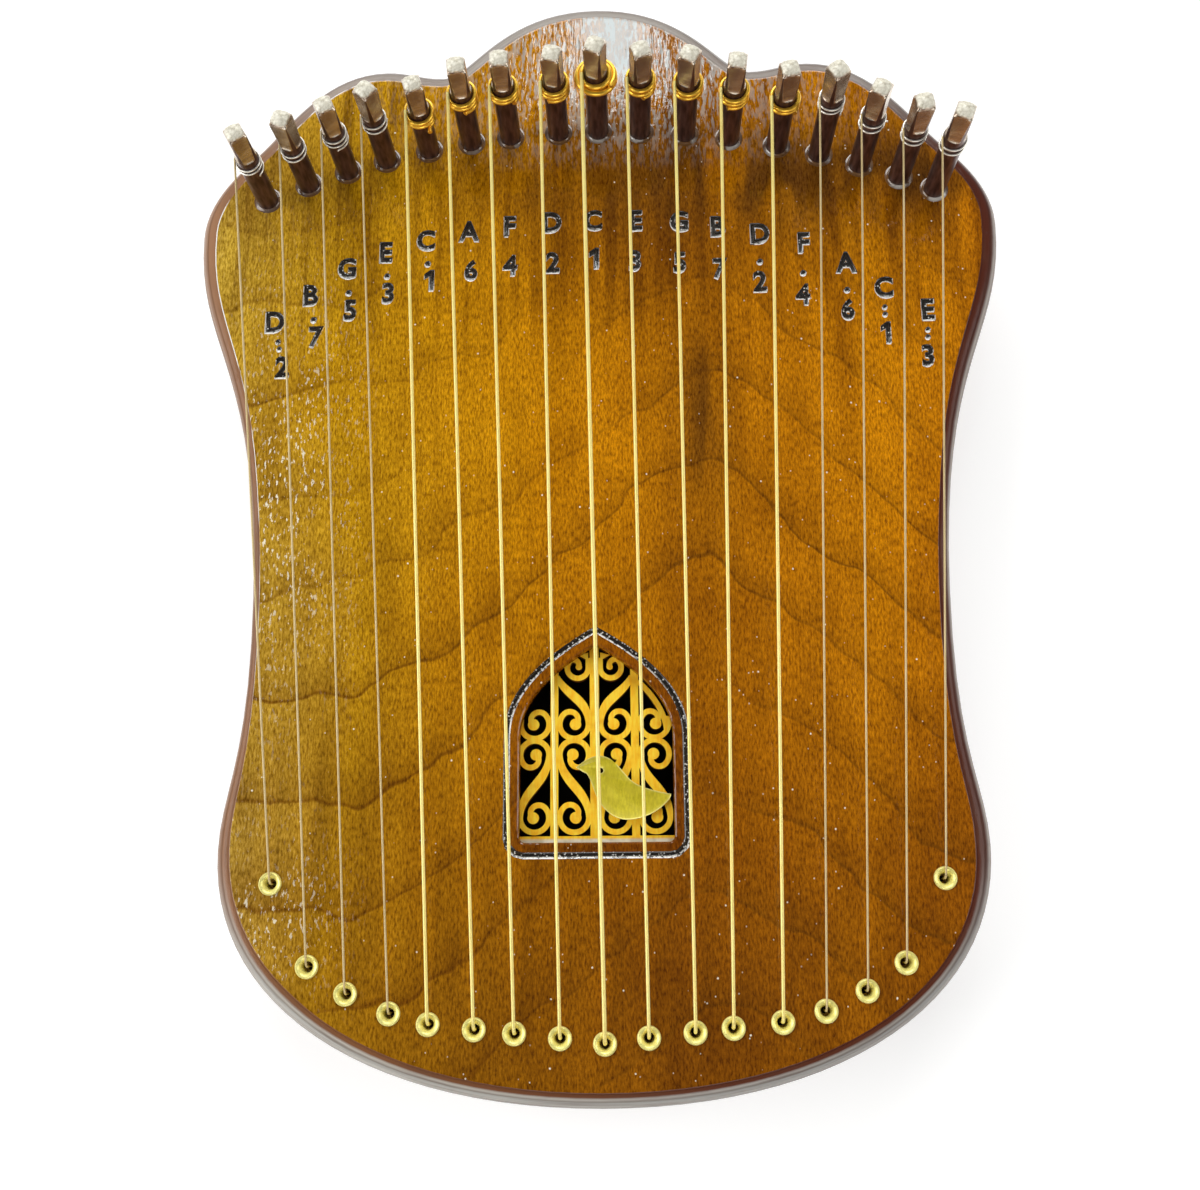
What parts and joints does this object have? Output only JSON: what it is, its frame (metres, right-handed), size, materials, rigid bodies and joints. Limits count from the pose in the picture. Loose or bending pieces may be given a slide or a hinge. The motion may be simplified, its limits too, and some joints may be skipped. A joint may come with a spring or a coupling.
{
  "type": "lyre",
  "caption": "Small boxed lyre with a lobed shield outline, an arched scroll-grille sound window and a fan of steel and bronze strings on turning tuning pins.",
  "frame": {"origin": "middle of the back face, under the middle of the outline's box; the lyre lies on its back", "axes": "+Y from the tail towards the crest and the pins, +X to the player's right seen from the front, +Z out of the front"},
  "size_m": [0.19, 0.2586, 0.0581],
  "materials": {
    "soundboard_wood": "thick gloss varnish",
    "side_wood": "thick gloss varnish",
    "back_wood": "gloss varnish",
    "block_wood": "bare beech",
    "brace_wood": "bare spruce",
    "grille_wood": "satin lacquer",
    "bird_brass": "satin",
    "pin_nickel": "polished nickel plate",
    "eyelet_brass": "polished",
    "steel_string": "drawn wire",
    "bronze_string": "wound wire"
  },
  "bodies": {
    "body": {"soundboard": "soundboard_wood", "left_side": "side_wood", "right_side": "side_wood", "back_plate": "back_wood", "pin_block": "block_wood", "tail_block": "block_wood", "brace": "brace_wood", "grille": "grille_wood", "bird": "bird_brass", "string_01": "steel_string", "string_02": "steel_string", "string_03": "steel_string", "string_04": "steel_string", "string_05": "bronze_string", "string_06": "bronze_string", "string_07": "bronze_string", "string_08": "bronze_string", "string_09": "bronze_string", "string_10": "bronze_string", "string_11": "bronze_string", "string_12": "bronze_string", "string_13": "bronze_string", "string_14": "steel_string", "string_15": "steel_string", "string_16": "steel_string", "string_17": "steel_string", "eyelet_01": "eyelet_brass", "eyelet_02": "eyelet_brass", "eyelet_03": "eyelet_brass", "eyelet_04": "eyelet_brass", "eyelet_05": "eyelet_brass", "eyelet_06": "eyelet_brass", "eyelet_07": "eyelet_brass", "eyelet_08": "eyelet_brass", "eyelet_09": "eyelet_brass", "eyelet_10": "eyelet_brass", "eyelet_11": "eyelet_brass", "eyelet_12": "eyelet_brass", "eyelet_13": "eyelet_brass", "eyelet_14": "eyelet_brass", "eyelet_15": "eyelet_brass", "eyelet_16": "eyelet_brass", "eyelet_17": "eyelet_brass"},
    "pin_01": {"tuning_pin_01": "pin_nickel"},
    "pin_02": {"tuning_pin_02": "pin_nickel"},
    "pin_03": {"tuning_pin_03": "pin_nickel"},
    "pin_04": {"tuning_pin_04": "pin_nickel"},
    "pin_05": {"tuning_pin_05": "pin_nickel"},
    "pin_06": {"tuning_pin_06": "pin_nickel"},
    "pin_07": {"tuning_pin_07": "pin_nickel"},
    "pin_08": {"tuning_pin_08": "pin_nickel"},
    "pin_09": {"tuning_pin_09": "pin_nickel"},
    "pin_10": {"tuning_pin_10": "pin_nickel"},
    "pin_11": {"tuning_pin_11": "pin_nickel"},
    "pin_12": {"tuning_pin_12": "pin_nickel"},
    "pin_13": {"tuning_pin_13": "pin_nickel"},
    "pin_14": {"tuning_pin_14": "pin_nickel"},
    "pin_15": {"tuning_pin_15": "pin_nickel"},
    "pin_16": {"tuning_pin_16": "pin_nickel"},
    "pin_17": {"tuning_pin_17": "pin_nickel"}
  },
  "joints": [
    {"name": "pin_01_turn", "type": "hinge", "parent": "body", "child": "pin_01", "pos_m": [-0.0787, 0.07588, 0.025], "axis": [0, 0, 1], "range_deg": [-60, 90]},
    {"name": "pin_02_turn", "type": "hinge", "parent": "body", "child": "pin_02", "pos_m": [-0.06903, 0.07991, 0.025], "axis": [0, 0, 1], "range_deg": [-60, 90]},
    {"name": "pin_03_turn", "type": "hinge", "parent": "body", "child": "pin_03", "pos_m": [-0.05965, 0.08325, 0.025], "axis": [0, 0, 1], "range_deg": [-60, 90]},
    {"name": "pin_04_turn", "type": "hinge", "parent": "body", "child": "pin_04", "pos_m": [-0.05038, 0.08602, 0.025], "axis": [0, 0, 1], "range_deg": [-60, 90]},
    {"name": "pin_05_turn", "type": "hinge", "parent": "body", "child": "pin_05", "pos_m": [-0.0402, 0.08849, 0.025], "axis": [0, 0, 1], "range_deg": [-60, 90]},
    {"name": "pin_06_turn", "type": "hinge", "parent": "body", "child": "pin_06", "pos_m": [-0.03002, 0.09039, 0.025], "axis": [0, 0, 1], "range_deg": [-60, 90]},
    {"name": "pin_07_turn", "type": "hinge", "parent": "body", "child": "pin_07", "pos_m": [-0.02055, 0.09165, 0.025], "axis": [0, 0, 1], "range_deg": [-60, 90]},
    {"name": "pin_08_turn", "type": "hinge", "parent": "body", "child": "pin_08", "pos_m": [-0.00898, 0.09254, 0.025], "axis": [0, 0, 1], "range_deg": [-60, 90]},
    {"name": "pin_09_turn", "type": "hinge", "parent": "body", "child": "pin_09", "pos_m": [0.0006, 0.09275, 0.025], "axis": [0, 0, 1], "range_deg": [-60, 90]},
    {"name": "pin_10_turn", "type": "hinge", "parent": "body", "child": "pin_10", "pos_m": [0.01068, 0.09245, 0.025], "axis": [0, 0, 1], "range_deg": [-60, 90]},
    {"name": "pin_11_turn", "type": "hinge", "parent": "body", "child": "pin_11", "pos_m": [0.02145, 0.09155, 0.025], "axis": [0, 0, 1], "range_deg": [-60, 90]},
    {"name": "pin_12_turn", "type": "hinge", "parent": "body", "child": "pin_12", "pos_m": [0.03193, 0.09008, 0.025], "axis": [0, 0, 1], "range_deg": [-60, 90]},
    {"name": "pin_13_turn", "type": "hinge", "parent": "body", "child": "pin_13", "pos_m": [0.0433, 0.0878, 0.025], "axis": [0, 0, 1], "range_deg": [-60, 90]},
    {"name": "pin_14_turn", "type": "hinge", "parent": "body", "child": "pin_14", "pos_m": [0.05328, 0.08521, 0.025], "axis": [0, 0, 1], "range_deg": [-60, 90]},
    {"name": "pin_15_turn", "type": "hinge", "parent": "body", "child": "pin_15", "pos_m": [0.06275, 0.08221, 0.025], "axis": [0, 0, 1], "range_deg": [-60, 90]},
    {"name": "pin_16_turn", "type": "hinge", "parent": "body", "child": "pin_16", "pos_m": [0.07193, 0.07877, 0.025], "axis": [0, 0, 1], "range_deg": [-60, 90]},
    {"name": "pin_17_turn", "type": "hinge", "parent": "body", "child": "pin_17", "pos_m": [0.08, 0.07529, 0.025], "axis": [0, 0, 1], "range_deg": [-60, 90]}
  ]
}
